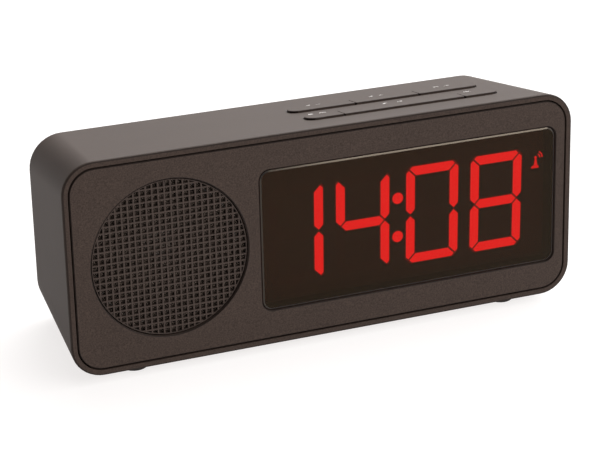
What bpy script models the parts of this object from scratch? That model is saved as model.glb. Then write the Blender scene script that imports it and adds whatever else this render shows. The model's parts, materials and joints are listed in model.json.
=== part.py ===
"""Clock radio: a round speaker grille on the left, a large LED display on the right, six keys on top.

The case tapers towards the rear and leans back, so that its underside lies level on four feet. Pieces are
placed in three frames, each an empty: "case" has the front face in its XZ plane, "top" has the outer top
surface in its XY plane, and "base" has the floor in its XY plane.
"""

import math

import bmesh
import bpy
from mathutils import Vector

MM = 0.001
GAP = 0.3 * MM  # left between pieces that touch on the real object

# Case, measured in its own frame: +X right, +Y to the rear, +Z up the front face
WIDTH = 178 * MM
HEIGHT = 71.5 * MM
DEPTH = 53 * MM
LEAN = math.radians(4.3)
TOP_FALL = math.radians(6.7)
SIDE_CLOSING = 4.4 * MM
FRONT_CORNER = 10.6 * MM
REAR_CORNER = 11.3 * MM
CORNER_STEPS = 10
WALL = 2.0 * MM
EDGE_ROUND = 0.7 * MM
FRONT_LEDGE = 3.2 * MM
REAR_LEDGE = 5.0 * MM
LEDGE_DEPTH = 1.8 * MM

# Front panel and what shows through it
PANEL_THICK = 2.4 * MM
PANEL_GROOVE = 0.45 * MM
PANEL_CHAMFER = 0.3 * MM
WINDOW = (-24.1 * MM, 82.9 * MM, 11.9 * MM, 60.1 * MM)  # left, right, low, high
WINDOW_CORNER = 3.6 * MM
LENS_MARGIN = 0.3 * MM
LENS_FLANGE = 0.8 * MM
LENS_FLANGE_THICK = 1.0 * MM
LENS_CHAMFER = 0.5 * MM
LENS_SINK = 0.2 * MM
SPEAKER = (-54.6 * MM, 35.9 * MM)  # centre across and up the front face
GRILLE_RADIUS = 26.3 * MM
GRILLE_SINK = 0.8 * MM
GRILLE_FLANGE = 1.4 * MM
GRILLE_FLANGE_THICK = 0.8 * MM

# Turned speaker pieces: material, whether hollow in the middle, and (radius, depth) in millimetres
SPEAKER_PIECES = {
    "speaker_gasket": ("foam", True, ((27.2, 3.8), (27.2, 4.6), (24.0, 4.6), (24.0, 3.8))),
    "speaker_frame": (
        "steel",
        True,
        (
            (27.2, 4.9),
            (27.2, 6.1),
            (25.4, 7.2),
            (14.2, 18.3),
            (14.2, 19.5),
            (6.0, 19.5),
            (6.0, 18.3),
            (12.8, 18.3),
            (23.6, 7.2),
            (23.6, 4.9),
        ),
    ),
    "speaker_magnet": ("ferrite", False, ((13.4, 19.8), (14.0, 20.4), (14.0, 27.2), (13.4, 27.8))),
    "speaker_surround": (
        "foam",
        True,
        (
            (19.8, 6.1),
            (20.6, 5.3),
            (21.5, 5.1),
            (22.4, 5.3),
            (23.2, 6.1),
            (23.2, 6.7),
            (22.3, 5.9),
            (21.5, 5.7),
            (20.7, 5.9),
            (19.8, 6.7),
        ),
    ),
    "speaker_cone": ("cone_paper", True, ((19.4, 6.5), (19.4, 7.1), (6.5, 14.1), (6.5, 13.5))),
    "speaker_dust_cap": (
        "dust_cap",
        False,
        ((1.0, 10.2), (3.2, 10.5), (5.0, 11.3), (6.0, 12.5), (6.0, 13.1)),
    ),
}

# LED display
DISPLAY = (-21.5 * MM, 80.8 * MM, 13.2 * MM, 57.6 * MM)
DISPLAY_FACE = 4.2 * MM
DISPLAY_THICK = 7.5 * MM
DISPLAY_BOARD_DROP = 1.0 * MM
COLON = (26.15 * MM, 35.2 * MM)
DIGIT_OFFSETS = (-36.4 * MM, -12.65 * MM, 12.65 * MM, 36.4 * MM)  # from the colon
DIGIT_HALF_WIDTH = 8.0 * MM
DIGIT_HALF_HEIGHT = 15.3 * MM
DIGIT_SLANT = math.tan(math.radians(0.7))
BAR = 3.15 * MM
BAR_GAP = 0.5 * MM
BAR_CUT = 0.9 * MM  # taken off each outer corner of a digit
DOT_RADIUS = 1.9 * MM
DOT_HEIGHT = 6.7 * MM  # above and below the colon's middle
POCKET_DEPTH = 0.6 * MM

# Keys, measured in the "top" frame: +X right, +Y to the rear along the surface, +Z out of it
KEY_ROWS = {
    12.9 * MM: (("alarm_key", -1.2, 11.5), ("snooze_key", 11.5, 55.4), ("light_key", 55.4, 68.5)),
    28.1 * MM: (("volume_down_key", -1.0, 22.2), ("volume_up_key", 22.2, 45.7), ("mode_key", 45.7, 68.5)),
}
KEY_DEPTH = 6.8 * MM
KEY_RISE = 0.7 * MM
KEY_ROUND = 0.3 * MM
KEY_CORNER = 0.5 * MM
KEY_FLANGE = 1.2 * MM
FLANGE_TOP = -2.4 * MM
FLANGE_THICK = 1.0 * MM
STEM_RADIUS = 1.4 * MM
STEM_END = -5.0 * MM
PLUNGER_RADIUS = 1.6 * MM
PLUNGER_LENGTH = 2.4 * MM
SWITCH_TOP = -6.2 * MM
SWITCH_SIDE = 6.0 * MM
SWITCH_HEIGHT = 3.5 * MM
SWITCH_FLOOR = 0.5 * MM
BOARD_THICK = 1.6 * MM

# Back cover and what it carries
COVER_THICK = 2.4 * MM
SCREW_PLACES = [(across * MM, up * MM) for across in (-76.8, 76.8) for up in (12.0, 57.2)]
BOSS_RADIUS = 3.2 * MM
BOSS_LENGTH = 13.0 * MM
SCREW_HEAD = 2.6 * MM
SCREW_SHANK = 1.2 * MM
SCREW_LENGTH = 9.0 * MM
SCREW_HEAD_THICK = 1.3 * MM
SCREW_HEAD_ROUND = 0.5 * MM
CROSS_REACH = 1.5 * MM
CROSS_HALF = 0.55 * MM
CROSS_DEPTH = 0.8 * MM
BAY = (-69.0 * MM, -19.0 * MM, 22.5 * MM, 47.5 * MM)
BAY_WALL = 1.3 * MM
BAY_FLOOR = 35.5 * MM
DOOR_THICK = 1.8 * MM
CONTACT_THICK = 0.5 * MM
CONTACT_LENGTH = 10.0 * MM
CONTACT_INSET = 2.0 * MM
SOCKET = (60.0 * MM, 20.0 * MM)
SOCKET_HALF = 5.0 * MM
SOCKET_BORE = 3.2 * MM
SOCKET_FLOOR = 2.0 * MM
PIN_RADIUS = 1.0 * MM
PIN_SINK = 0.5 * MM
GROMMET = (34.0 * MM, 20.0 * MM)
GROMMET_BORE = 1.0 * MM
GROMMET_NECK = 2.6 * MM
GROMMET_FLANGE = 4.0 * MM
GROMMET_THICK = 0.9 * MM
VENT_COUNT = 8
VENT_PITCH = 6.0 * MM
VENT_FIRST = (8.0 * MM, 46.0 * MM)
VENT_SIZE = (2.0 * MM, 11.0 * MM)

# Boards
MAIN_BOARD = (-14.0 * MM, 72.0 * MM, 10.0 * MM, 48.0 * MM)
MAIN_BOARD_Y = 37.0 * MM
KEY_BOARD = (-4.0 * MM, 71.5 * MM, 12.6 * MM, 38.0 * MM)  # in the "top" frame
CHIP = (8.0 * MM, 26.0 * MM, 22.0 * MM, 34.0 * MM)
CHIP_THICK = 2.2 * MM
TUNER = (-10.0 * MM, 2.0 * MM, 30.0 * MM, 42.0 * MM)
TUNER_THICK = 6.0 * MM
CAPACITOR = (56.0 * MM, 30.0 * MM)
CAPACITOR_RADIUS = 5.0 * MM
CAPACITOR_LENGTH = 12.5 * MM
CAPACITOR_ROUND = 0.5 * MM

# Feet, in the "base" frame
FOOT_RADIUS = 5.0 * MM
FOOT_HEIGHT = 2.2 * MM
FOOT_PROFILE = ((0.80, 0.0), (0.92, 0.12), (0.98, 0.35), (1.0, 1.0))  # shares of the radius and height
FEET = {
    "front_left_foot": (-66.3 * MM, 8.0 * MM),
    "front_right_foot": (66.3 * MM, 8.0 * MM),
    "rear_left_foot": (-64.0 * MM, 44.5 * MM),
    "rear_right_foot": (64.0 * MM, 44.5 * MM),
}


def clear_scene():
    for item in list(bpy.data.objects):
        bpy.data.objects.remove(item)


def add_material(name, colour, roughness, metallic=0.0):
    material = bpy.data.materials.new(name)
    material.use_nodes = True
    shader = material.node_tree.nodes["Principled BSDF"]
    shader.inputs["Base Color"].default_value = (*colour, 1.0)
    shader.inputs["Roughness"].default_value = roughness
    shader.inputs["Metallic"].default_value = metallic
    return material


def add_frame(name, location, tilt):
    """An empty turned about X by tilt, which carries the pieces measured in its frame."""
    frame = bpy.data.objects.new(name, None)
    bpy.context.collection.objects.link(frame)
    frame.location = location
    frame.rotation_euler.x = tilt
    return frame


def add_piece(name, shape, material, parent, place=(0, 0, 0), turn=0.0):
    """A named object from a bmesh, at a place in its parent's frame, turned about Z."""
    mesh = bpy.data.meshes.new(name)
    shape.to_mesh(mesh)
    shape.free()
    mesh.shade_smooth()
    mesh.set_sharp_from_angle(angle=math.radians(32))
    if material:
        mesh.materials.append(material)
    piece = bpy.data.objects.new(name, mesh)
    bpy.context.collection.objects.link(piece)
    piece.parent = parent
    piece.location = place
    piece.rotation_euler.z = turn
    return piece


def combine(piece, operation, name, shape, parent, place=(0, 0, 0)):
    """Cuts the shape from the piece, or joins it on, with a Boolean modifier."""
    tool = add_piece(name, shape, None, parent, place)
    tool.hide_render = True
    tool.display_type = "WIRE"
    modifier = piece.modifiers.new(name, "BOOLEAN")
    modifier.operation = operation
    modifier.object = tool


def loft(rings, closed=False):
    """A solid through rings of equal point counts. Open lofts get an end face at each end."""
    shape = bmesh.new()
    add_loft(shape, rings, closed)
    return shape


def add_loft(shape, rings, closed=False):
    loops = [[shape.verts.new(point) for point in ring] for ring in rings]
    faces = []
    if closed:
        loops.append(loops[0])
    else:
        faces += [shape.faces.new(loops[0]), shape.faces.new(loops[-1])]
    for first, second in zip(loops, loops[1:]):
        for i, corner in enumerate(first):
            j = (i + 1) % len(first)
            faces.append(shape.faces.new((corner, first[j], second[j], second[i])))
    bmesh.ops.recalc_face_normals(shape, faces=faces)


def rounded_rectangle(left, right, low, high, left_corner, right_corner=None, steps=CORNER_STEPS):
    """Points round a rectangle with round corners, from the lower right one, anticlockwise."""
    right_corner = left_corner if right_corner is None else right_corner
    corners = (
        (right - right_corner, low + right_corner, right_corner, -0.5),
        (right - right_corner, high - right_corner, right_corner, 0.0),
        (left + left_corner, high - left_corner, left_corner, 0.5),
        (left + left_corner, low + left_corner, left_corner, 1.0),
    )
    points = []
    for across, up, radius, start in corners:
        for step in range(steps + 1):
            angle = math.pi * (start + 0.5 * step / steps)
            points.append((across + radius * math.cos(angle), up + radius * math.sin(angle)))
    return points


def circle(radius, centre=(0.0, 0.0), steps=48):
    angles = [math.tau * step / steps for step in range(steps)]
    return [(centre[0] + radius * math.cos(a), centre[1] + radius * math.sin(a)) for a in angles]


def facing(outline, depth):
    """An outline across the front face, at a depth."""
    return [Vector((across, depth, up)) for across, up in outline]


def level(outline, height):
    """An outline seen from above, at a height."""
    return [Vector((across, along, height)) for across, along in outline]


def plate(outline, front, rear):
    return loft([facing(outline, front), facing(outline, rear)])


def block(left, right, front, rear, low, high):
    return plate([(left, low), (right, low), (right, high), (left, high)], front, rear)


def turned(profile, centre, closed=False, steps=32):
    """A solid turned about an axis along Y. The profile holds (radius, depth) pairs."""
    rings = [facing(circle(radius, centre, steps), depth) for radius, depth in profile]
    return loft(rings, closed)


def case_section(depth, inset=0.0):
    """The case's outline at a depth, moved inwards by inset."""
    share = depth / DEPTH
    half = WIDTH / 2 - SIDE_CLOSING * share - inset
    low = math.tan(LEAN) * depth + inset
    high = HEIGHT - math.tan(TOP_FALL) * depth - inset
    corner = FRONT_CORNER + (REAR_CORNER - FRONT_CORNER) * share - inset
    return rounded_rectangle(-half, half, low, high, corner)


def add_housing(case, top, material):
    """A tapered sleeve, open at both ends, with a ledge for the panel and one for the cover."""
    soft = EDGE_ROUND * (1 - math.sqrt(0.5))
    front_ledge = PANEL_THICK + GAP
    rear_ledge = DEPTH - COVER_THICK - GAP
    walls = (
        (0.0, EDGE_ROUND),
        (soft, soft),
        (EDGE_ROUND, 0.0),
        (DEPTH - EDGE_ROUND, 0.0),
        (DEPTH - soft, soft),
        (DEPTH, EDGE_ROUND),
        (DEPTH, WALL),
        (rear_ledge, WALL),
        (rear_ledge, REAR_LEDGE),
        (rear_ledge - LEDGE_DEPTH, REAR_LEDGE),
        (rear_ledge - LEDGE_DEPTH, WALL),
        (front_ledge + LEDGE_DEPTH, WALL),
        (front_ledge + LEDGE_DEPTH, FRONT_LEDGE),
        (front_ledge, FRONT_LEDGE),
        (front_ledge, WALL),
        (0.0, WALL),
    )
    rings = [facing(case_section(depth, inset), depth) for depth, inset in walls]
    housing = add_piece("housing", loft(rings, closed=True), material, case)

    bosses, bores = bmesh.new(), bmesh.new()
    for place in SCREW_PLACES:
        boss = circle(BOSS_RADIUS, place, 16)
        bore = circle(SCREW_SHANK + GAP, place, 16)
        add_loft(bosses, [facing(boss, rear_ledge - BOSS_LENGTH), facing(boss, rear_ledge)])
        add_loft(bores, [facing(bore, rear_ledge - BOSS_LENGTH + WALL), facing(bore, DEPTH)])
    combine(housing, "UNION", "bosses", bosses, case)
    combine(housing, "DIFFERENCE", "boss_bores", bores, case)

    slots = bmesh.new()
    for front, keys in KEY_ROWS.items():
        left, right = keys[0][1] * MM - GAP, keys[-1][2] * MM + GAP
        radius = KEY_DEPTH / 2 + GAP
        pill = rounded_rectangle(left, right, front - GAP, front + KEY_DEPTH + GAP, radius, steps=6)
        add_loft(slots, [level(pill, -2 * WALL), level(pill, WALL)])
    combine(housing, "DIFFERENCE", "key_slots", slots, top)


def add_front_panel(case, material):
    edge = WALL + PANEL_GROOVE
    rings = [
        facing(case_section(0.0, edge + PANEL_CHAMFER), 0.0),
        facing(case_section(0.0, edge), PANEL_CHAMFER),
        facing(case_section(0.0, edge), PANEL_THICK),
    ]
    panel = add_piece("front_panel", loft(rings), material, case)

    flare = PANEL_CHAMFER + GAP  # the opening's 45 degree edge, carried on past the front face
    openings = bmesh.new()
    steps = ((flare, -GAP), (0.0, PANEL_CHAMFER), (0.0, PANEL_THICK + GAP))
    window = [facing(rounded_rectangle(*grown(WINDOW, grow), WINDOW_CORNER + grow), y) for grow, y in steps]
    round_hole = [facing(circle(GRILLE_RADIUS + grow, SPEAKER, 64), y) for grow, y in steps]
    add_loft(openings, window)
    add_loft(openings, round_hole)
    combine(panel, "DIFFERENCE", "panel_openings", openings, case)


def grown(box, amount):
    """A (left, right, low, high) box made larger on every side."""
    left, right, low, high = box
    return left - amount, right + amount, low - amount, high + amount


def add_lens(case, material):
    face = grown(WINDOW, -LENS_MARGIN)
    corner = WINDOW_CORNER - LENS_MARGIN
    shoulder = PANEL_THICK + GAP
    profile = (
        (-LENS_CHAMFER, LENS_SINK),
        (0.0, LENS_SINK + LENS_CHAMFER / 2),
        (0.0, shoulder),
        (LENS_MARGIN + LENS_FLANGE, shoulder),
        (LENS_MARGIN + LENS_FLANGE, shoulder + LENS_FLANGE_THICK),
    )
    rings = [
        facing(rounded_rectangle(*grown(face, grow), corner + grow), depth) for grow, depth in profile
    ]
    add_piece("display_lens", loft(rings), material, case)


def add_speaker(case, materials):
    """Grille, gasket, frame, magnet, cone, surround and dust cap, all turned about one axis."""
    rim = GRILLE_RADIUS - GAP
    seat = PANEL_THICK + GAP
    flange = GRILLE_RADIUS + GRILLE_FLANGE
    plate_profile = ((rim, GRILLE_SINK), (rim, seat), (flange, seat), (flange, seat + GRILLE_FLANGE_THICK))
    grille = turned(plate_profile, SPEAKER)
    add_piece("speaker_grille", grille, materials["black_plastic"], case)
    for name, (material, hollow, profile) in SPEAKER_PIECES.items():
        scaled = [(radius * MM, depth * MM) for radius, depth in profile]
        add_piece(name, turned(scaled, SPEAKER, hollow), materials[material], case)


def flipped(outline, across, up):
    """The outline mirrored across, up, or both."""
    return [(u * (-1 if across else 1), v * (-1 if up else 1)) for u, v in outline]


def bar_outline(letter):
    """One bar of a digit, a to g, about the digit's middle: mitred at corners, pointed at mid height."""
    half = BAR / 2
    slip = BAR_GAP * math.sqrt(0.5)
    right, high = DIGIT_HALF_WIDTH + half, DIGIT_HALF_HEIGHT + half
    if letter == "g":
        tip = DIGIT_HALF_WIDTH - slip
        end = [(tip - half, -half), (tip, 0), (tip - half, half)]
        return end + flipped(end, True, True)
    if letter in "ad":
        end = [
            (right - BAR - slip, high - BAR),
            (right - BAR_CUT - slip, high - BAR_CUT),
            (right - 2 * BAR_CUT - slip, high),
        ]
        return flipped(end + flipped(end[::-1], True, False), False, letter == "d")
    bar = [
        (right - BAR, high - BAR - slip),
        (right - BAR, half + slip),
        (right - half, slip),
        (right, half + slip),
        (right, high - 2 * BAR_CUT - slip),
        (right - BAR_CUT, high - BAR_CUT - slip),
    ]
    return flipped(bar, letter in "ef", letter in "ce")


def digit_bars(middle):
    """The seven bars of a digit, whose middle is this far across, leaning with the digits."""
    return [
        [(middle + u + DIGIT_SLANT * v, COLON[1] + v) for u, v in bar_outline(letter)]
        for letter in "abcdefg"
    ]


def add_display(case, materials):
    left, right, low, high = DISPLAY
    rear = DISPLAY_FACE + DISPLAY_THICK
    body = block(left, right, DISPLAY_FACE, rear, low, high)
    display = add_piece("led_display", body, materials["display_black"], case)
    outlines = [bar for offset in DIGIT_OFFSETS for bar in digit_bars(COLON[0] + offset)]
    for up in (-DOT_HEIGHT, DOT_HEIGHT):
        outlines.append(circle(DOT_RADIUS, (COLON[0] + DIGIT_SLANT * up, COLON[1] + up), 16))
    pockets = bmesh.new()
    mouth, bottom = DISPLAY_FACE - GAP, DISPLAY_FACE + POCKET_DEPTH
    for outline in outlines:
        add_loft(pockets, [facing(outline, mouth), facing(outline, bottom)])
    combine(display, "DIFFERENCE", "display_pockets", pockets, case)
    board_front = rear + GAP
    board = block(left, right, board_front, board_front + BOARD_THICK, low, high - DISPLAY_BOARD_DROP)
    add_piece("display_board", board, materials["circuit_board"], case)


def key_ring(front, left, right, ends, grow, height):
    """One ring of a key. A round end grows outwards with the sides, and a straight end stays."""
    half = KEY_DEPTH / 2 + grow
    round_left, round_right = ends
    outline = rounded_rectangle(
        left - grow * round_left,
        right + grow * round_right,
        front - grow,
        front + KEY_DEPTH + grow,
        half if round_left else KEY_CORNER,
        half if round_right else KEY_CORNER,
        steps=5,
    )
    return level(outline, height)


def add_key(name, front, left, right, ends, top, materials):
    """A key with its flange and stem, and the push switch under it. Its origin is on its axis."""
    middle = ((left + right) / 2, front + KEY_DEPTH / 2)
    half_length = (right - left) / 2

    def ring(grow, height):
        return key_ring(-KEY_DEPTH / 2, -half_length, half_length, ends, grow, height)

    flange_bottom = FLANGE_TOP - FLANGE_THICK
    stem = rounded_rectangle(-STEM_RADIUS, STEM_RADIUS, -STEM_RADIUS, STEM_RADIUS, STEM_RADIUS, steps=5)
    rings = [
        level(stem, STEM_END),
        level(stem, flange_bottom),
        ring(KEY_FLANGE, flange_bottom),
        ring(KEY_FLANGE, FLANGE_TOP),
        ring(0.0, FLANGE_TOP),
        ring(0.0, KEY_RISE - KEY_ROUND),
        ring(-0.3 * KEY_ROUND, KEY_RISE - 0.3 * KEY_ROUND),
        ring(-KEY_ROUND, KEY_RISE),
    ]
    place = (*middle, 0.0)
    add_piece(name, loft(rings), materials["key_plastic"], top, place)

    stem_name = name.replace("_key", "")
    plunger_top = STEM_END - GAP
    plunger_disc = circle(PLUNGER_RADIUS, steps=12)
    plunger = loft([level(plunger_disc, plunger_top - PLUNGER_LENGTH), level(plunger_disc, plunger_top)])
    add_piece(stem_name + "_plunger", plunger, materials["white_plastic"], top, place)

    side = SWITCH_SIDE / 2
    square = rounded_rectangle(-side, side, -side, side, KEY_CORNER, steps=2)
    body = loft([level(square, SWITCH_TOP - SWITCH_HEIGHT), level(square, SWITCH_TOP)])
    switch = add_piece(stem_name + "_switch", body, materials["black_plastic"], top, place)
    well = circle(PLUNGER_RADIUS + GAP, steps=12)
    well_floor = SWITCH_TOP - SWITCH_HEIGHT + SWITCH_FLOOR
    bore = loft([level(well, well_floor), level(well, SWITCH_TOP + GAP)])
    combine(switch, "DIFFERENCE", stem_name + "_well", bore, top, place)


def add_keys(top, materials):
    for front, keys in KEY_ROWS.items():
        for index, (name, left, right) in enumerate(keys):
            ends = (index == 0, index == len(keys) - 1)
            start = left * MM + (0 if ends[0] else GAP / 2)
            end = right * MM - (0 if ends[1] else GAP / 2)
            add_key(name, front, start, end, ends, top, materials)
    left, right, front, rear = KEY_BOARD
    board_top = SWITCH_TOP - SWITCH_HEIGHT - GAP
    board = block(left, right, front, rear, board_top - BOARD_THICK, board_top)
    add_piece("key_board", board, materials["circuit_board"], top)


def add_back_cover(case, materials):
    front = DEPTH - COVER_THICK
    edge = WALL + GAP
    rings = [
        facing(case_section(DEPTH, edge), front),
        facing(case_section(DEPTH, edge), DEPTH - PANEL_CHAMFER),
        facing(case_section(DEPTH, edge + PANEL_CHAMFER), DEPTH),
    ]
    cover = add_piece("back_cover", loft(rings), materials["case_plastic"], case)

    holes = bmesh.new()
    past_front, past_rear = front - GAP, DEPTH + GAP
    for place in SCREW_PLACES:
        narrow = circle(SCREW_SHANK + GAP, place, 16)
        wide = circle(SCREW_HEAD + GAP, place, 16)
        seat = DEPTH - COVER_THICK / 2
        add_loft(
            holes,
            [
                facing(narrow, past_front),
                facing(narrow, seat),
                facing(wide, seat),
                facing(wide, past_rear),
            ],
        )
    bay = rounded_rectangle(*BAY, 1.0 * MM, steps=3)
    add_loft(holes, [facing(bay, past_front), facing(bay, past_rear)])
    for place, radius in ((SOCKET, SOCKET_BORE + 2 * GAP), (GROMMET, GROMMET_NECK + GAP)):
        hole = circle(radius, place, 32)
        add_loft(holes, [facing(hole, past_front), facing(hole, past_rear)])
    low, (wide, tall) = VENT_FIRST[1], VENT_SIZE
    for index in range(VENT_COUNT):
        left = VENT_FIRST[0] + index * VENT_PITCH
        vent = rounded_rectangle(left, left + wide, low, low + tall, wide / 2, steps=3)
        add_loft(holes, [facing(vent, past_front), facing(vent, past_rear)])
    combine(cover, "DIFFERENCE", "cover_holes", holes, case)


def add_cover_screws(case, material):
    """Pan-head screws with a cross recess."""
    steps = 16
    head_front = DEPTH - COVER_THICK / 2 + GAP
    head_rear = head_front + SCREW_HEAD_THICK
    for number, place in enumerate(SCREW_PLACES, 1):
        cross = []
        for step in range(steps):
            angle = math.tau * step / steps
            radius = CROSS_REACH if step % 4 == 0 else CROSS_HALF
            cross.append((place[0] + radius * math.cos(angle), place[1] + radius * math.sin(angle)))
        shank_end = head_front - SCREW_LENGTH
        rings = [
            facing(circle(SCREW_SHANK / 2, place, steps), shank_end),
            facing(circle(SCREW_SHANK, place, steps), shank_end + SCREW_SHANK),
            facing(circle(SCREW_SHANK, place, steps), head_front),
            facing(circle(SCREW_HEAD, place, steps), head_front),
            facing(circle(SCREW_HEAD, place, steps), head_rear - SCREW_HEAD_ROUND),
            facing(circle(SCREW_HEAD - SCREW_HEAD_ROUND, place, steps), head_rear),
            facing(cross, head_rear),
            facing(cross, head_rear - CROSS_DEPTH),
        ]
        add_piece(f"cover_screw_{number}", loft(rings), material, case)


def add_battery_bay(case, materials):
    left, right, low, high = BAY
    rear = DEPTH - COVER_THICK - GAP
    body = block(left - BAY_WALL, right + BAY_WALL, BAY_FLOOR, rear, low - BAY_WALL, high + BAY_WALL)
    box = add_piece("battery_box", body, materials["black_plastic"], case)
    hollow = block(left, right, BAY_FLOOR + BAY_WALL, rear + GAP, low, high)
    combine(box, "DIFFERENCE", "bay_hollow", hollow, case)

    door_outline = rounded_rectangle(*grown(BAY, -GAP), 0.7 * MM, steps=3)
    door = plate(door_outline, DEPTH - DOOR_THICK, DEPTH)
    add_piece("battery_door", door, materials["case_plastic"], case)

    front = BAY_FLOOR + BAY_WALL + GAP
    rear = front + CONTACT_LENGTH
    starts = {
        "battery_contact_left": left + GAP,
        "battery_contact_right": right - GAP - CONTACT_THICK,
    }
    for name, start in starts.items():
        end = start + CONTACT_THICK
        strip = block(start, end, front, rear, low + CONTACT_INSET, high - CONTACT_INSET)
        add_piece(name, strip, materials["nickel"], case)


def add_socket_and_grommet(case, materials):
    across, up = SOCKET
    front = MAIN_BOARD_Y + BOARD_THICK + GAP
    rear = DEPTH - COVER_THICK - GAP
    half = SOCKET_HALF
    body = block(across - half, across + half, front, rear, up - half, up + half)
    socket = add_piece("power_socket", body, materials["black_plastic"], case)
    bore = plate(circle(SOCKET_BORE, SOCKET, 32), front + SOCKET_FLOOR, rear + GAP)
    combine(socket, "DIFFERENCE", "socket_bore", bore, case)
    pin = plate(circle(PIN_RADIUS, SOCKET, 16), front + SOCKET_FLOOR + GAP, rear - PIN_SINK)
    add_piece("power_socket_pin", pin, materials["nickel"], case)

    outside, inside = DEPTH + GAP, DEPTH - COVER_THICK - GAP
    round_start = GROMMET_FLANGE - GROMMET_THICK / 2
    profile = (
        (GROMMET_BORE, outside + GROMMET_THICK),
        (round_start, outside + GROMMET_THICK),
        (GROMMET_FLANGE, outside + GROMMET_THICK / 2),
        (GROMMET_FLANGE, outside),
        (GROMMET_NECK, outside),
        (GROMMET_NECK, inside),
        (GROMMET_FLANGE, inside),
        (GROMMET_FLANGE, inside - GROMMET_THICK),
        (GROMMET_BORE, inside - GROMMET_THICK),
    )
    add_piece("aerial_grommet", turned(profile, GROMMET, True, 24), materials["rubber"], case)


def add_main_board(case, materials):
    left, right, low, high = MAIN_BOARD
    board = block(left, right, MAIN_BOARD_Y, MAIN_BOARD_Y + BOARD_THICK, low, high)
    add_piece("main_board", board, materials["circuit_board"], case)

    face = MAIN_BOARD_Y - GAP  # parts stand on the side that looks forwards
    for name, box, thick, material in (
        ("radio_chip", CHIP, CHIP_THICK, "black_plastic"),
        ("tuner_can", TUNER, TUNER_THICK, "nickel"),
    ):
        left, right, low, high = box
        add_piece(name, block(left, right, face - thick, face, low, high), materials[material], case)
    narrow = CAPACITOR_RADIUS - CAPACITOR_ROUND
    end = face - CAPACITOR_LENGTH
    profile = (
        (narrow, face),
        (CAPACITOR_RADIUS, face - CAPACITOR_ROUND),
        (CAPACITOR_RADIUS, end + CAPACITOR_ROUND),
        (narrow, end),
    )
    capacitor = turned(profile, CAPACITOR, steps=24)
    add_piece("smoothing_capacitor", capacitor, materials["capacitor_sleeve"], case)


def add_feet(base, material):
    for name, (across, along) in FEET.items():
        rings = [
            level(circle(radius * FOOT_RADIUS, steps=24), height * FOOT_HEIGHT)
            for radius, height in FOOT_PROFILE
        ]
        add_piece(name, loft(rings), material, base, (across, along, 0.0))


def centre_on_floor(case, base):
    """Moves the frames so that the middle of the whole model's footprint is at the origin."""
    bpy.context.view_layer.update()
    depths = [
        (piece.matrix_world @ Vector(corner)).y
        for piece in bpy.data.objects
        if piece.type == "MESH" and not piece.hide_render
        for corner in piece.bound_box
    ]
    middle = (min(depths) + max(depths)) / 2
    case.location.y -= middle
    base.location.y -= middle


def build():
    clear_scene()
    materials = {
        "case_plastic": add_material("case_plastic", (0.060, 0.047, 0.043), 0.48),
        "panel_plastic": add_material("panel_plastic", (0.058, 0.045, 0.041), 0.55),
        "key_plastic": add_material("key_plastic", (0.062, 0.049, 0.045), 0.45),
        "black_plastic": add_material("black_plastic", (0.020, 0.019, 0.018), 0.50),
        "display_black": add_material("display_black", (0.008, 0.007, 0.007), 0.60),
        "lens": add_material("lens", (0.012, 0.008, 0.007), 0.08),
        "white_plastic": add_material("white_plastic", (0.70, 0.68, 0.64), 0.45),
        "foam": add_material("foam", (0.025, 0.024, 0.024), 0.90),
        "cone_paper": add_material("cone_paper", (0.035, 0.033, 0.032), 0.80),
        "dust_cap": add_material("dust_cap", (0.10, 0.10, 0.10), 0.25),
        "steel": add_material("steel", (0.42, 0.42, 0.43), 0.35, 1.0),
        "nickel": add_material("nickel", (0.62, 0.60, 0.56), 0.28, 1.0),
        "ferrite": add_material("ferrite", (0.050, 0.050, 0.052), 0.55),
        "circuit_board": add_material("circuit_board", (0.020, 0.090, 0.035), 0.45),
        "rubber": add_material("rubber", (0.022, 0.021, 0.021), 0.75),
        "capacitor_sleeve": add_material("capacitor_sleeve", (0.012, 0.018, 0.070), 0.30),
    }
    base = add_frame("base", (0, 0, 0), 0.0)
    case = add_frame("case", (0, 0, FOOT_HEIGHT + GAP), -LEAN)
    top = add_frame("top", (0, 0, HEIGHT), -TOP_FALL)
    top.parent = case

    add_housing(case, top, materials["case_plastic"])
    add_front_panel(case, materials["panel_plastic"])
    add_lens(case, materials["lens"])
    add_speaker(case, materials)
    add_display(case, materials)
    add_keys(top, materials)
    add_back_cover(case, materials)
    add_cover_screws(case, materials["steel"])
    add_battery_bay(case, materials)
    add_socket_and_grommet(case, materials)
    add_main_board(case, materials)
    add_feet(base, materials["rubber"])
    centre_on_floor(case, base)


build()
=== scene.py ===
"""Looks of the clock radio: camera, studio, materials, speaker mesh, lit digits and key symbols."""

import math

import bmesh
import bpy
from mathutils import Matrix, Vector
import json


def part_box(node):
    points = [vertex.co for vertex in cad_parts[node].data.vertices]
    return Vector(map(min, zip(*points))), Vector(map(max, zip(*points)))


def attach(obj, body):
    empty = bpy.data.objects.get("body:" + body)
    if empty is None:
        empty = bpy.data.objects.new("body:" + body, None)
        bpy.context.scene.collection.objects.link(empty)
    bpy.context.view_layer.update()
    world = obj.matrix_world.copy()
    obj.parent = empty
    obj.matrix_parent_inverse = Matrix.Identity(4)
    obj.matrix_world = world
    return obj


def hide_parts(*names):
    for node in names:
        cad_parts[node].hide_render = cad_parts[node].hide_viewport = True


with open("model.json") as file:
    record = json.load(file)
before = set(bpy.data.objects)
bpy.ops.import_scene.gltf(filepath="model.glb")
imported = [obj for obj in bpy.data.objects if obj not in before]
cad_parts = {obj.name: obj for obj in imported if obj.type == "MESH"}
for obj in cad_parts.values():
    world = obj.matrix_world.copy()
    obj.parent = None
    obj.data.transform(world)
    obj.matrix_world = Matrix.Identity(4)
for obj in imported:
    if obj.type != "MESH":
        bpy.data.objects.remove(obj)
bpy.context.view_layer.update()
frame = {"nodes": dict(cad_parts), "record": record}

MM = 0.001

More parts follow.
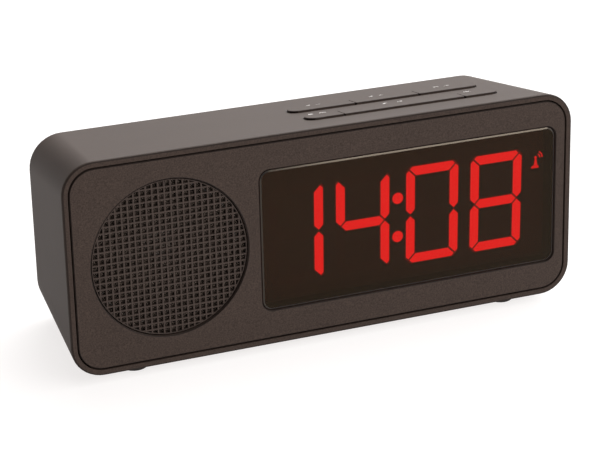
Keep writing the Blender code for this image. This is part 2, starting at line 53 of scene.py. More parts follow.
# The case's own frame: origin on the lower front edge, +X right, +Y to the rear, +Z up the front face
LEAN = math.radians(4.3)
TOP_FALL = math.radians(6.7)
EDGE_ROUND = 0.7 * MM
HEIGHT = 71.5 * MM
HOUSING_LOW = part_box("housing")[0]
CASE_ORIGIN = (0, HOUSING_LOW.y - EDGE_ROUND * math.sin(LEAN), HOUSING_LOW.z)
CASE = Matrix.Translation(CASE_ORIGIN) @ Matrix.Rotation(-LEAN, 4, "X")
TOP = CASE @ Matrix.Translation((0, 0, HEIGHT)) @ Matrix.Rotation(-TOP_FALL, 4, "X")

# Camera, in the case's frame
CAMERA_AIM = Vector((-10.465, 0.0, 39.825)) * MM
CAMERA_AZIMUTH = math.radians(22.264)  # to the left of the front
CAMERA_ELEVATION = math.radians(20.044)
CAMERA_ROLL = math.radians(-1.414)
CAMERA_DISTANCE = 679.06 * MM
CAMERA_LENS = 126.48
CAMERA_SENSOR = 36.0

# Speaker grille, on the front face
SPEAKER = Vector((-54.6 * MM, 35.9 * MM))
GRILLE_RADIUS = 26.0 * MM
GRILLE_RIM = 0.45 * MM
GRILLE_PITCH = 2.05 * MM
GRILLE_BAR = 0.62 * MM
GRILLE_DEPTH = 0.8 * MM
GRILLE_SINK = 0.8 * MM
CLOTH_FRONT = 1.9 * MM
CLOTH_CROWN = 0.25 * MM
CLOTH_THICK = 0.12 * MM
CLOTH_RINGS = 10
GRILLE_FLANGE = 27.7 * MM
GRILLE_FLANGE_FRONT = 2.7 * MM
GRILLE_FLANGE_REAR = 3.5 * MM

# Display, on the front face
COLON = Vector((26.15 * MM, 35.2 * MM))
DIGIT_OFFSETS = (-36.4 * MM, -12.65 * MM, 12.65 * MM, 36.4 * MM)  # from the colon
DIGIT_HALF_WIDTH = 8.0 * MM
DIGIT_HALF_HEIGHT = 15.3 * MM
DIGIT_SLANT = math.tan(math.radians(0.7))
BAR = 3.15 * MM
BAR_GAP = 0.5 * MM
BAR_CUT = 0.9 * MM
DOT_RADIUS = 1.9 * MM
DOT_HEIGHT = 6.7 * MM
DISPLAY_FACE = 4.2 * MM
LIT_BARS = ("bc", "fgbc", "abcdef", "abcdefg")
GLOW = 0.3 * MM
LIT_INSET = 0.05 * MM
LIT_RISE = 0.2 * MM  # in front of the display's face
GLOW_RISE = 0.1 * MM
GLOW_THICK = 0.05 * MM
BAR_ROOT = 0.4 * MM  # behind the display's face, in the pockets
UNLIT_SINK = 0.1 * MM
MAST = Vector((77.6 * MM, 44.7 * MM))

# Printed symbols, in the top's frame: across, back from the front edge
SYMBOL_HALF = 1.35 * MM
PRINT_THICK = 0.03 * MM
FRONT_SYMBOLS = 22.6 * MM
REAR_SYMBOLS = 37.9 * MM

CASE_BROWN = (0.047, 0.0325, 0.0262)
WARM = (1.0, 0.85, 0.80, 1)  # tints the plastic's gloss
SMOOTH_UNDER = math.radians(16)  # edges that turn less than this are shaded smoothly
MERGE_UNDER = 0.001 * MM

# Studio, in world coordinates
WORLD_SIDES = ((1.0, 0.25, 0.3), 0.0, 0.7)  # direction that brightens, and where it starts and ends
WORLD_DIM = 0.06
WORLD_BRIGHT = 1.8
FLOOR_HALF = 6.0


def new_piece(name, shape, material, body, smooth=30):
    """A named object from a bmesh that is already in place, riding on a body."""
    mesh = bpy.data.meshes.new(name)
    shape.to_mesh(mesh)
    shape.free()
    mesh.shade_smooth()
    mesh.set_sharp_from_angle(angle=math.radians(smooth))
    mesh.materials.append(material)
    piece = bpy.data.objects.new(name, mesh)
    bpy.context.scene.collection.objects.link(piece)
    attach(piece, body)
    return piece


def add_prism(shape, outline, low, high, place):
    """Adds a solid to the bmesh: the outline at two depths, each point placed by place(u, v, depth)."""
    rings = [[shape.verts.new(place(u, v, depth)) for u, v in outline] for depth in (low, high)]
    faces = [shape.faces.new(rings[0]), shape.faces.new(rings[1])]
    for i in range(len(outline)):
        j = (i + 1) % len(outline)
        faces.append(shape.faces.new((rings[0][i], rings[0][j], rings[1][j], rings[1][i])))
    bmesh.ops.recalc_face_normals(shape, faces=faces)


def on_front(u, v, depth):
    return CASE @ Vector((u, depth, v))


def on_top(u, v, height):
    return TOP @ Vector((u, v, height))


# ---------------------------------------------------------------- flat outlines


def disc(centre, radius, steps=32):
    return arc_line(centre, radius, 0, math.tau * (1 - 1 / steps), steps - 1)


def arc_line(centre, radius, start, end, steps):
    angles = [start + (end - start) * step / steps for step in range(steps + 1)]
    return [(centre[0] + radius * math.cos(a), centre[1] + radius * math.sin(a)) for a in angles]


def arc_band(centre, radius, start, end, width, steps=12):
    """A curved stripe as one outline, with its angles in degrees."""
    start, end = math.radians(start), math.radians(end)
    outside = arc_line(centre, radius + width / 2, start, end, steps)
    return outside + arc_line(centre, radius - width / 2, end, start, steps)


def bar_between(start, end, width):
    along = (Vector(end) - Vector(start)).normalized() * width / 2
    aside = Vector((-along.y, along.x))
    start, end = Vector(start), Vector(end)
    return [tuple(p) for p in (start - aside, end - aside, end + aside, start + aside)]


def shifted(outlines, across, up, scale=1.0):
    return [[(across + scale * u, up + scale * v) for u, v in outline] for outline in outlines]


def flipped(outline, across, up):
    """The outline mirrored in one or both directions."""
    return [(-u if across else u, -v if up else v) for u, v in outline]


# ---------------------------------------------------------------- materials


class Nodes:
    """Short calls for building one material's node tree."""

    def __init__(self, name):
        self.material = bpy.data.materials.new(name)
        self.material.use_nodes = True
        self.tree = self.material.node_tree
        self.shader = self.tree.nodes["Principled BSDF"]
        self.output = self.tree.nodes["Material Output"]
        self.place = self.add("ShaderNodeTexCoord").outputs["Object"]

    def add(self, kind, **settings):
        node = self.tree.nodes.new(kind)
        for key, value in settings.items():
            setattr(node, key, value)
        return node

    def link(self, source, target):
        self.tree.links.new(source, target)

    def feed(self, source, name):
        self.link(source, self.shader.inputs[name])

    def set(self, **values):
        for key, value in values.items():
            self.shader.inputs[key.replace("_", " ")].default_value = value

    def noise(self, scale, detail=3.0, rough=0.5):
        node = self.add("ShaderNodeTexNoise")
        self.link(self.place, node.inputs["Vector"])
        node.inputs["Scale"].default_value = scale
        node.inputs["Detail"].default_value = detail
        node.inputs["Roughness"].default_value = rough
        return node.outputs["Fac"]

    def spread(self, source, low, high, from_low=0.3, from_high=0.7):
        """The source remapped to a range."""
        node = self.add("ShaderNodeMapRange")
        self.link(source, node.inputs["Value"])
        ends = {"From Min": from_low, "From Max": from_high, "To Min": low, "To Max": high}
        for key, value in ends.items():
            node.inputs[key].default_value = value
        return node.outputs["Result"]

    def combine(self, operation, first, second):
        """A Math node on two sockets or numbers."""
        node = self.add("ShaderNodeMath", operation=operation)
        for value, socket in zip((first, second), node.inputs):
            if isinstance(value, bpy.types.NodeSocket):
                self.link(value, socket)
            else:
                socket.default_value = value
        return node.outputs[0]

    def blend(self, factor, first, second):
        """From the first colour at 0 to the second at 1."""
        node = self.add("ShaderNodeMix", data_type="RGBA")
        self.link(factor, node.inputs["Factor"])
        for value, name in ((first, 6), (second, 7)):
            if isinstance(value, bpy.types.NodeSocket):
                self.link(value, node.inputs[name])
            else:
                node.inputs[name].default_value = (*value, 1)
        return node.outputs[2]

    def bump(self, height, distance, strength=1.0, below=None):
        node = self.add("ShaderNodeBump")
        self.link(height, node.inputs["Height"])
        node.inputs["Distance"].default_value = distance
        node.inputs["Strength"].default_value = strength
        if below:
            self.link(below, node.inputs["Normal"])
        return node.outputs["Normal"]

    def painted_edge_mask(self):
        """1 on the narrow rounding between the front or rear and a side, and 0 on either face: the band
        where shade or a highlight is painted.
        """
        turned = self.add("ShaderNodeVectorMath", operation="DOT_PRODUCT")
        self.link(self.add("ShaderNodeNewGeometry").outputs["Normal"], turned.inputs[0])
        turned.inputs[1].default_value = CASE.to_3x3() @ Vector((0, 1, 0))
        facing = self.combine("ABSOLUTE", turned.outputs["Value"], 0.0)
        rise = self.spread(facing, 0, 1, 0.22, 0.42)
        fall = self.spread(facing, 1, 0, 0.90, 0.985)
        return self.combine("MULTIPLY", rise, fall)


def tinted(colour, share):
    return tuple(min(1.0, channel * share) for channel in colour)


def moulded_plastic(
    name, colour, roughness, grain=2200.0, depth=0.012 * MM, specular=0.3, speckle=0.34
):
    """Spark-eroded plastic: fine grain in colour, bump and roughness, with faint large-scale variation,
    and painted shade on the rounding of the front and rear edges.
    """
    nodes = Nodes(name)
    grain_height = nodes.noise(grain, 2.0, 0.6)
    cloud = nodes.noise(45.0, 3.0)
    shade = nodes.blend(nodes.spread(cloud, 0, 1), tinted(colour, 0.96), tinted(colour, 1.04))
    dark = nodes.blend(nodes.spread(grain_height, 0, 1), (1 - speckle,) * 3, (1 + speckle,) * 3)
    speckled = nodes.add("ShaderNodeMix", data_type="RGBA", blend_type="MULTIPLY")
    speckled.inputs["Factor"].default_value = 1.0
    nodes.link(shade, speckled.inputs[6])
    nodes.link(dark, speckled.inputs[7])
    # Painted shade: the rounding between the front or rear and a side is darkened to 0.3 of the plastic's
    # colour.
    nodes.feed(nodes.blend(nodes.painted_edge_mask(), speckled.outputs[2], tinted(colour, 0.3)), "Base Color")
    nodes.feed(nodes.spread(grain_height, roughness - 0.06, roughness + 0.06), "Roughness")
    fine = nodes.bump(grain_height, depth, 0.8)
    nodes.feed(nodes.bump(cloud, 0.05 * MM, 0.15, fine), "Normal")
    nodes.set(Specular_IOR_Level=specular, Specular_Tint=WARM)
    return nodes.material


def smooth_plastic(name, colour, roughness, specular=0.5):
    nodes = Nodes(name)
    cloud = nodes.spread(nodes.noise(60.0, 4.0), 0, 1)
    nodes.feed(nodes.blend(cloud, tinted(colour, 0.9), tinted(colour, 1.1)), "Base Color")
    nodes.feed(nodes.spread(nodes.noise(900.0, 2.0), roughness - 0.03, roughness + 0.03), "Roughness")
    nodes.feed(nodes.bump(nodes.noise(500.0, 2.0), 0.01 * MM, 0.3), "Normal")
    nodes.set(Specular_IOR_Level=specular)
    return nodes.material


def grille_cloth(name):
    """Brown open-weave cloth: threads in two directions, with the speaker showing faintly between them."""
    nodes = Nodes(name)
    threads = nodes.add("ShaderNodeTexChecker")
    nodes.link(nodes.place, threads.inputs["Vector"])
    threads.inputs["Scale"].default_value = 3200.0
    weave = nodes.combine("MULTIPLY", threads.outputs["Fac"], nodes.noise(2500.0, 2.0))
    share = nodes.spread(weave, 0, 1, 0.0, 0.6)
    nodes.feed(nodes.blend(share, (0.090, 0.066, 0.052), (0.13, 0.096, 0.078)), "Base Color")
    nodes.feed(nodes.bump(weave, 0.05 * MM, 0.6), "Normal")
    nodes.set(Roughness=0.8, Specular_IOR_Level=0.3)
    clear = nodes.add("ShaderNodeBsdfTransparent")
    mix = nodes.add("ShaderNodeMixShader")
    mix.inputs["Fac"].default_value = 0.5
    nodes.link(clear.outputs[0], mix.inputs[1])
    nodes.link(nodes.shader.outputs[0], mix.inputs[2])
    nodes.link(mix.outputs[0], nodes.output.inputs["Surface"])
    return nodes.material


def metal(name, colour, roughness):
    nodes = Nodes(name)
    streak = nodes.noise(700.0, 4.0, 0.7)
    share = nodes.spread(streak, 0, 1)
    nodes.feed(nodes.blend(share, tinted(colour, 0.85), tinted(colour, 1.05)), "Base Color")
    nodes.feed(nodes.spread(streak, roughness - 0.08, roughness + 0.08), "Roughness")
    nodes.feed(nodes.bump(streak, 0.01 * MM, 0.4), "Normal")
    nodes.set(Metallic=1.0)
    return nodes.material


def tinted_lens(name):
    """Dark smoke acrylic: what lies behind shows dimly, and the surface is polished; its edge chamfer
    carries a painted highlight.
    """
    nodes = Nodes(name)
    # Painted highlight: the edge chamfer is lighter and less clear than the face of the lens.
    edge = nodes.painted_edge_mask()
    nodes.feed(nodes.blend(edge, (0.013, 0.0075, 0.0022), (0.035, 0.030, 0.028)), "Base Color")
    nodes.set(Roughness=0.06, Specular_IOR_Level=0.3, Specular_Tint=(1.0, 0.82, 0.62, 1))
    nodes.feed(nodes.bump(nodes.noise(30.0, 2.0), 0.004 * MM, 0.2), "Normal")
    clear = nodes.add("ShaderNodeBsdfTransparent")
    clear.inputs["Color"].default_value = (0.95, 0.25, 0.22, 1)
    mix = nodes.add("ShaderNodeMixShader")
    nodes.link(nodes.spread(edge, 0.5, 1.0, 0.0, 1.0), mix.inputs["Fac"])
    nodes.link(clear.outputs[0], mix.inputs[1])
    nodes.link(nodes.shader.outputs[0], mix.inputs[2])
    nodes.link(mix.outputs[0], nodes.output.inputs["Surface"])
    return nodes.material


def lit_red(name, strength):
    """A lit display bar: even red light with a faint grain from the diffusing resin."""
    nodes = Nodes(name)
    grain = nodes.spread(nodes.noise(700.0, 2.0), 0, 1)
    nodes.feed(nodes.blend(grain, (0.80, 0.056, 0.120), (0.84, 0.062, 0.130)), "Emission Color")
    nodes.set(Base_Color=(0.02, 0.001, 0.001, 1), Roughness=0.7)
    nodes.set(Emission_Strength=strength, Specular_IOR_Level=0.1)
    nodes.material.cycles.emission_sampling = "NONE"
    return nodes.material


def circuit_board(name):
    """Green solder mask, with copper tracks showing through as paler lines."""
    nodes = Nodes(name)
    tracks = nodes.add("ShaderNodeTexBrick", offset=0.37, squash=0.6)
    nodes.link(nodes.place, tracks.inputs["Vector"])
    tracks.inputs["Scale"].default_value = 240.0
    tracks.inputs["Mortar Size"].default_value = 0.05
    tracks.inputs["Color1"].default_value = (0.010, 0.070, 0.028, 1)
    tracks.inputs["Color2"].default_value = (0.012, 0.078, 0.030, 1)
    tracks.inputs["Mortar"].default_value = (0.030, 0.140, 0.050, 1)
    nodes.feed(tracks.outputs["Color"], "Base Color")
    nodes.feed(nodes.bump(tracks.outputs["Fac"], 0.03 * MM, 0.5), "Normal")
    nodes.feed(nodes.spread(nodes.noise(300.0), 0.28, 0.42), "Roughness")
    return nodes.material


def printed_white(name):
    """Pad-printed ink, a little worn."""
    nodes = Nodes(name)
    wear = nodes.spread(nodes.noise(1500.0, 3.0), 0, 1)
    nodes.feed(nodes.blend(wear, (0.38, 0.35, 0.33), (0.60, 0.57, 0.55)), "Base Color")
    nodes.set(Roughness=0.55)
    return nodes.material


MATERIALS = {
    "case_plastic": moulded_plastic("case_plastic_look", CASE_BROWN, 0.65, specular=0.2),
    "panel_plastic": moulded_plastic("panel_plastic_look", CASE_BROWN, 0.55, specular=0.2, speckle=0.42),
    "key_plastic": moulded_plastic("key_plastic_look", CASE_BROWN, 0.65, specular=0.2),
    "grille_plastic": moulded_plastic("grille_plastic_look", CASE_BROWN, 0.40, 3000.0, 0.006 * MM),
    "black_plastic": smooth_plastic("black_plastic_look", (0.015, 0.014, 0.013), 0.45),
    "display_black": smooth_plastic("display_black_look", (0.004, 0.003, 0.003), 0.70, 0.1),
    "lens": tinted_lens("lens_look"),
    "white_plastic": smooth_plastic("white_plastic_look", (0.70, 0.67, 0.62), 0.45),
    "foam": moulded_plastic("foam_look", (0.020, 0.019, 0.019), 0.90, 1500.0, 0.15 * MM, 0.2),
    "cone_paper": moulded_plastic("cone_paper_look", (0.19, 0.155, 0.13), 0.75, 1100.0, 0.05 * MM, 0.3),
    "dust_cap": smooth_plastic("dust_cap_look", (0.42, 0.40, 0.38), 0.15),
    "steel": metal("steel_look", (0.50, 0.50, 0.51), 0.32),
    "nickel": metal("nickel_look", (0.62, 0.60, 0.57), 0.26),
    "ferrite": moulded_plastic("ferrite_look", (0.040, 0.040, 0.042), 0.55, 900.0, 0.02 * MM, 0.5),
    "circuit_board": circuit_board("circuit_board_look"),
    "rubber": moulded_plastic("rubber_look", (0.022, 0.020, 0.019), 0.70, 1800.0, 0.02 * MM, 0.3),
    "capacitor_sleeve": smooth_plastic("capacitor_sleeve_look", (0.012, 0.018, 0.07), 0.25),
}


def smoothing_nodes():
    """A modifier's node group that joins touching faces and shades smoothly across shallow edges."""
    tree = bpy.data.node_groups.new("smooth_by_angle", "GeometryNodeTree")
    tree.interface.new_socket("Geometry", in_out="INPUT", socket_type="NodeSocketGeometry")
    tree.interface.new_socket("Geometry", in_out="OUTPUT", socket_type="NodeSocketGeometry")
    angle = tree.nodes.new("GeometryNodeInputMeshEdgeAngle")
    sharp = tree.nodes.new("FunctionNodeCompare")
    sharp.operation = "LESS_THAN"
    sharp.inputs["B"].default_value = SMOOTH_UNDER
    tree.links.new(angle.outputs["Unsigned Angle"], sharp.inputs["A"])
    faces = tree.nodes.new("GeometryNodeSetShadeSmooth")
    edges = tree.nodes.new("GeometryNodeSetShadeSmooth")
    edges.domain = "EDGE"
    joined = tree.nodes.new("GeometryNodeMergeByDistance")
    joined.inputs["Distance"].default_value = MERGE_UNDER
    tree.links.new(tree.nodes.new("NodeGroupInput").outputs[0], joined.inputs["Geometry"])
    tree.links.new(joined.outputs["Geometry"], faces.inputs["Geometry"])
    tree.links.new(faces.outputs["Geometry"], edges.inputs["Geometry"])
    tree.links.new(sharp.outputs["Result"], edges.inputs["Shade Smooth"])
    tree.links.new(edges.outputs["Geometry"], tree.nodes.new("NodeGroupOutput").inputs[0])
    return tree


def dress_cad_nodes():
    smoothing = smoothing_nodes()
    for part in frame["record"]["subparts"]:
        node = frame["nodes"][part["node"]]
        node.data.materials.clear()
        node.data.materials.append(MATERIALS[part["material_slot"]])
        node.modifiers.new("smooth", "NODES").node_group = smoothing
        node.modifiers.new("flat_faces", "WEIGHTED_NORMAL").keep_sharp = True


# ---------------------------------------------------------------- speaker grille


def add_grille():
    """A round plate of square holes: bars of the same width cross at even steps and end in a thin rim."""
    shape = bmesh.new()
    half = GRILLE_BAR / 2
    reach = GRILLE_RADIUS - GRILLE_RIM / 2
    count = math.ceil(GRILLE_RADIUS / GRILLE_PITCH)
    for index in range(-count, count + 1):
        offset = (index + 0.5) * GRILLE_PITCH
        if abs(offset) > reach - half:
            continue
        run = math.sqrt(reach**2 - offset**2)
        for upright in (True, False):
            add_grille_bar(shape, offset, run, upright)
    add_rim(shape)
    grille = new_piece("grille_mesh", shape, MATERIALS["grille_plastic"], "case")
    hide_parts("speaker_grille")
    add_grille_cloth()


def add_grille_cloth():
    """Thin open-weave cloth on the back of the grille, crowned a little between its edges."""
    shape = bmesh.new()
    reach = GRILLE_RADIUS - GRILLE_RIM / 2
    rings = []
    for thick in (0.0, CLOTH_THICK):
        face = []
        for step in range(1, CLOTH_RINGS + 1):
            share = step / CLOTH_RINGS
            if thick:
                share = 1 + 1 / CLOTH_RINGS - share
            depth = CLOTH_FRONT - CLOTH_CROWN * (1 - share**2) + thick
            circle = disc(SPEAKER, reach * share, 64)
            face.append([shape.verts.new(on_front(u, v, depth)) for u, v in circle])
        rings += face
    join_rings(shape, rings, closed_ends=True)
    new_piece("grille_cloth", shape, grille_cloth("grille_cloth_look"), "case")


def add_grille_bar(shape, offset, run, upright):
    """One bar with rounded front edges, reaching into the rim at both ends."""
    half = GRILLE_BAR / 2
    soft = 0.16 * MM
    front = GRILLE_SINK + (0.0 if upright else 0.02 * MM)
    rear = front + GRILLE_DEPTH
    profile = [
        (-half, rear),
        (-half, front + soft),
        (-half + soft * 0.3, front + soft * 0.3),
        (-half + soft, front),
        (half - soft, front),
        (half - soft * 0.3, front + soft * 0.3),
        (half, front + soft),
        (half, rear),
    ]
    rings = []
    for end in (-run, run):
        ring = []
        for aside, depth in profile:
            across, up = (offset + aside, end) if upright else (end, offset + aside)
            ring.append(shape.verts.new(on_front(SPEAKER.x + across, SPEAKER.y + up, depth)))
        rings.append(ring)
    join_rings(shape, rings, closed_ends=True)


def join_rings(shape, rings, closed_ends):
    """Faces between each ring of points and the next, ending in caps or joined round to the first."""
    faces = []
    if closed_ends:
        faces = [shape.faces.new(rings[0]), shape.faces.new(rings[-1])]
    else:
        rings = rings + rings[:1]
    steps = len(rings[0])
    for first, second in zip(rings, rings[1:]):
        for i in range(steps):
            j = (i + 1) % steps
            faces.append(shape.faces.new((first[i], first[j], second[j], second[i])))
    bmesh.ops.recalc_face_normals(shape, faces=faces)


def add_rim(shape, steps=96):
    """The ring round the grille: a narrow face with soft edges, and a flange behind the panel."""
    soft = 0.12 * MM
    inner = GRILLE_RADIUS - GRILLE_RIM
    profile = (
        (inner, GRILLE_SINK + soft),
        (inner + soft, GRILLE_SINK),
        (GRILLE_RADIUS - soft, GRILLE_SINK),
        (GRILLE_RADIUS, GRILLE_SINK + soft),
        (GRILLE_RADIUS, GRILLE_FLANGE_FRONT),
        (GRILLE_FLANGE, GRILLE_FLANGE_FRONT),
        (GRILLE_FLANGE, GRILLE_FLANGE_REAR),
        (inner, GRILLE_FLANGE_REAR),
    )
    rings = []
    for radius, depth in profile:
        circle = disc(SPEAKER, radius, steps)
        rings.append([shape.verts.new(on_front(u, v, depth)) for u, v in circle])
    join_rings(shape, rings, closed_ends=False)


# ---------------------------------------------------------------- display


def bar_outline(letter, spread=0.0):
    """A display bar from the digit's middle, with its ends cut at 45 degrees, and grown by a spread."""
    half = BAR / 2 + spread
    slip = BAR_GAP * math.sqrt(0.5) - spread
    right, high = DIGIT_HALF_WIDTH + half, DIGIT_HALF_HEIGHT + half
    if letter == "g":
        tip = DIGIT_HALF_WIDTH - slip
        end = [(tip - half, -half), (tip, 0), (tip - half, half)]
        return end + flipped(end, True, True)
    if letter in "ad":
        end = [
            (right - 2 * half - slip, high - 2 * half),
            (right - BAR_CUT - slip, high - BAR_CUT),
            (right - 2 * BAR_CUT - slip, high),
        ]
        return flipped(end + flipped(end[::-1], True, False), False, letter == "d")
    bar = [
        (right - 2 * half, high - 2 * half - slip),
        (right - 2 * half, half + slip),
        (right - half, slip),
        (right, half + slip),
        (right, high - 2 * BAR_CUT - slip),
        (right - BAR_CUT, high - BAR_CUT - slip),
    ]
    return flipped(bar, letter in "ef", letter in "ce")


def digit_outline(letter, offset, spread=0.0):
    middle = COLON.x + offset
    return [(middle + u + DIGIT_SLANT * v, COLON.y + v) for u, v in bar_outline(letter, spread)]


def dots(spread=0.0):
    for up in (-DOT_HEIGHT, DOT_HEIGHT):
        yield disc((COLON.x + DIGIT_SLANT * up, COLON.y + up), DOT_RADIUS + spread)


def add_digits():
    """14:08 in lit bars over a faint glow, with the unlit bars in dark resin."""
    lit, glow, unlit = bmesh.new(), bmesh.new(), bmesh.new()
    front = DISPLAY_FACE - LIT_RISE
    film = DISPLAY_FACE - GLOW_RISE
    rear = DISPLAY_FACE + BAR_ROOT
    for offset, letters in zip(DIGIT_OFFSETS, LIT_BARS):
        for letter in "abcdefg":
            if letter in letters:
                add_prism(lit, digit_outline(letter, offset, -LIT_INSET), front, rear, on_front)
                halo = digit_outline(letter, offset, GLOW)
                add_prism(glow, halo, film, film + GLOW_THICK, on_front)
            else:
                sunk = DISPLAY_FACE + UNLIT_SINK
                add_prism(unlit, digit_outline(letter, offset), sunk, rear, on_front)
    for dot, halo in zip(dots(), dots(GLOW)):
        add_prism(lit, dot, front, rear, on_front)
        add_prism(glow, halo, film, film + GLOW_THICK, on_front)
    new_piece("lit_bars", lit, lit_red("lit_red", 3.7), "case")
    new_piece("bar_glow", glow, lit_red("glow_red", 0.3), "case")
    dark = smooth_plastic("unlit_resin", (0.010, 0.004, 0.004), 0.5, 0.2)
    new_piece("unlit_bars", unlit, dark, "case")


def add_reception_symbol():
    """A small mast on a wide foot, sending two waves up and to the right."""
    shape = bmesh.new()
    left = [(-1.5, 0.0), (-1.5, 0.55), (-0.55, 1.1), (-0.1, 3.5)]
    mast = left + [(0.25, 3.5), (0.7, 1.1), (1.2, 0.55), (1.2, 0.0)]
    outlines = [mast, disc((0.05, 3.75), 0.45, 12)]
    outlines += [arc_band((0.3, 3.6), radius, 0, 62, 0.36) for radius in (1.35, 2.25)]
    for layer, outline in enumerate(shifted(outlines, MAST.x, MAST.y, MM)):
        front = DISPLAY_FACE - (0.2 + 0.01 * layer) * MM
        add_prism(shape, outline, front, DISPLAY_FACE + 0.1 * MM, on_front)
    new_piece("reception_symbol", shape, lit_red("symbol_red", 3.0), "case")


# ---------------------------------------------------------------- printed symbols


def bell():
    """A bell in a unit box, with its clapper below."""
    half = arc_line((0, 0.25), 0.62, 0, math.pi, 14)
    skirt = [(-0.66, -0.3), (-0.98, -0.62), (0.98, -0.62), (0.66, -0.3)]
    return [half + skirt, disc((0, -0.82), 0.2, 12)]


def clock():
    ring = [arc_band((0, 0), 0.82, start, start + 180, 0.26) for start in (0, 180)]
    return ring + [bar_between((0, -0.1), (0, 0.5), 0.22), bar_between((-0.1, 0), (0.42, 0), 0.22)]


def moon():
    outside = arc_line((0, 0), 0.95, math.radians(55), math.radians(305), 20)
    inside = arc_line((0.42, 0), 0.78, math.radians(270), math.radians(90), 16)
    return [outside + inside]


def stars():
    """Three, larger and higher to the right."""
    places = ((0, -0.4, 0.24), (0.7, 0.1, 0.3), (1.6, 0.5, 0.36))
    return [disc((across, up), radius, 10) for across, up, radius in places]


def sun():
    rays = []
    for step in range(8):
        way = Vector((math.cos(math.tau * step / 8), math.sin(math.tau * step / 8)))
        rays.append(bar_between(way * 0.72, way * 1.1, 0.26))
    return [disc((0, 0), 0.5, 20)] + rays


def speaker():
    return [[(-0.9, -0.32), (-0.4, -0.32), (0.15, -0.9), (0.15, 0.9), (-0.4, 0.32), (-0.9, 0.32)]]


def minus():
    return [bar_between((-0.6, 0), (0.6, 0), 0.32)]


def plus():
    return minus() + [bar_between((0, 0.16), (0, 0.6), 0.32), bar_between((0, -0.6), (0, -0.16), 0.32)]


def note():
    stems = [bar_between((across, -0.6), (across, 0.9), 0.2) for across in (-0.32, 0.78)]
    heads = [disc((across, -0.62), 0.34, 14) for across in (-0.56, 0.54)]
    return stems + heads + [bar_between((-0.42, 0.8), (0.88, 0.8), 0.34)]


def waves():
    return [disc((0, 0), 0.24, 12)] + [arc_band((0, 0), radius, -45, 45, 0.24) for radius in (0.62, 1.1)]


SYMBOLS = (
    (((bell, 3.6), (clock, 7.9)), FRONT_SYMBOLS),
    (((moon, 31.0), (stars, 34.4)), FRONT_SYMBOLS),
    (((sun, 61.2),), FRONT_SYMBOLS),
    (((speaker, 9.6), (minus, 12.6)), REAR_SYMBOLS),
    (((speaker, 32.8), (plus, 36.0)), REAR_SYMBOLS),
    (((note, 56.8), (waves, 60.2)), REAR_SYMBOLS),
)


def add_symbols():
    """White printing behind each key, with overlapping shapes of a symbol raised a hair over the last."""
    print_shape = bmesh.new()
    for places, back in SYMBOLS:
        for symbol, across in places:
            for layer, outline in enumerate(shifted(symbol(), across * MM, back, SYMBOL_HALF)):
                add_prism(print_shape, outline, -PRINT_THICK, PRINT_THICK * (1 + layer / 10), on_top)
    new_piece("key_symbols", print_shape, printed_white("symbol_print"), "case")


# ---------------------------------------------------------------- studio


def add_camera():
    data = bpy.data.cameras.new("camera")
    data.lens = CAMERA_LENS
    data.sensor_width = CAMERA_SENSOR
    camera = bpy.data.objects.new("camera", data)
    bpy.context.scene.collection.objects.link(camera)
    level = math.cos(CAMERA_ELEVATION)
    back = Vector(
        (
            -math.sin(CAMERA_AZIMUTH) * level,
            -math.cos(CAMERA_AZIMUTH) * level,
            math.sin(CAMERA_ELEVATION),
        )
    )
    right = (-back).cross(Vector((0, 0, 1))).normalized()
    up = right.cross(-back)
    across = math.cos(CAMERA_ROLL) * right + math.sin(CAMERA_ROLL) * up
    above = math.cos(CAMERA_ROLL) * up - math.sin(CAMERA_ROLL) * right
    turned = Matrix((across, above, back)).transposed().to_4x4()
    camera.matrix_world = CASE @ Matrix.Translation(CAMERA_AIM + CAMERA_DISTANCE * back) @ turned
    bpy.context.scene.camera = camera


def add_light(name, place, aim, size, power):
    data = bpy.data.lights.new(name, "AREA")
    data.shape = "RECTANGLE"
    data.size, data.size_y = size
    data.energy = power
    light = bpy.data.objects.new(name, data)
    light.location = place
    light.rotation_euler = (Vector(aim) - Vector(place)).to_track_quat("-Z", "Y").to_euler()
    bpy.context.scene.collection.objects.link(light)


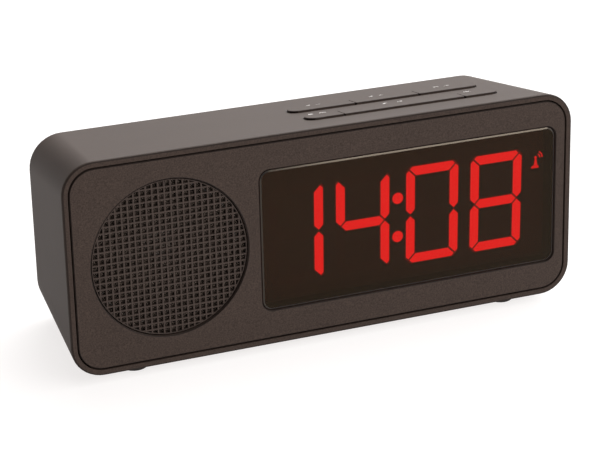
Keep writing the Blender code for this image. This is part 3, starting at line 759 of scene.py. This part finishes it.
def add_world(scene):
    """Soft light from all round, brighter from above and the rear right."""
    way, start, end = WORLD_SIDES
    world = bpy.data.worlds.new("studio")
    world.use_nodes = True
    tree = world.node_tree
    direction = tree.nodes.new("ShaderNodeTexCoord").outputs["Generated"]
    share = tree.nodes.new("ShaderNodeVectorMath")
    share.operation = "DOT_PRODUCT"
    tree.links.new(direction, share.inputs[0])
    share.inputs[1].default_value = Vector(way).normalized()
    ramp = tree.nodes.new("ShaderNodeMapRange")
    tree.links.new(share.outputs["Value"], ramp.inputs["Value"])
    ends = {"From Min": start, "From Max": end, "To Min": WORLD_DIM, "To Max": WORLD_BRIGHT}
    for key, value in ends.items():
        ramp.inputs[key].default_value = value
    background = tree.nodes["Background"]
    background.inputs["Color"].default_value = (1.0, 0.99, 0.98, 1)
    tree.links.new(ramp.outputs["Result"], background.inputs["Strength"])
    scene.world = world


def add_studio():
    scene = bpy.context.scene
    scene.view_settings.view_transform = "Standard"
    add_world(scene)
    # The floor gives some light of its own, so that the object's shadow on it stays faint
    floor_mesh = bpy.data.meshes.new("floor")
    shape = bmesh.new()
    bmesh.ops.create_grid(shape, x_segments=1, y_segments=1, size=FLOOR_HALF)
    shape.to_mesh(floor_mesh)
    shape.free()
    nodes = Nodes("floor_paint")
    shade = nodes.spread(nodes.noise(6.0), 0, 1)
    nodes.feed(nodes.blend(shade, (0.29, 0.29, 0.29), (0.31, 0.31, 0.31)), "Base Color")
    nodes.set(Roughness=0.9, Specular_IOR_Level=0.1)
    nodes.set(Emission_Color=(1.0, 0.975, 0.965, 1), Emission_Strength=0.80)
    nodes.material.cycles.emission_sampling = "NONE"
    floor_mesh.materials.append(nodes.material)
    floor = bpy.data.objects.new("floor", floor_mesh)
    scene.collection.objects.link(floor)
    add_light("overhead", (0.75, 0.75, 1.05), (0, 0, 0), (1.8, 1.4), 29.0)
    add_light("front_strip", (0.40, -0.81, 0.615), (0.03, -0.02, 0.04), (1.1, 0.10), 3.0)


add_camera()
add_studio()
dress_cad_nodes()
add_grille()
add_digits()
add_reception_symbol()
add_symbols()
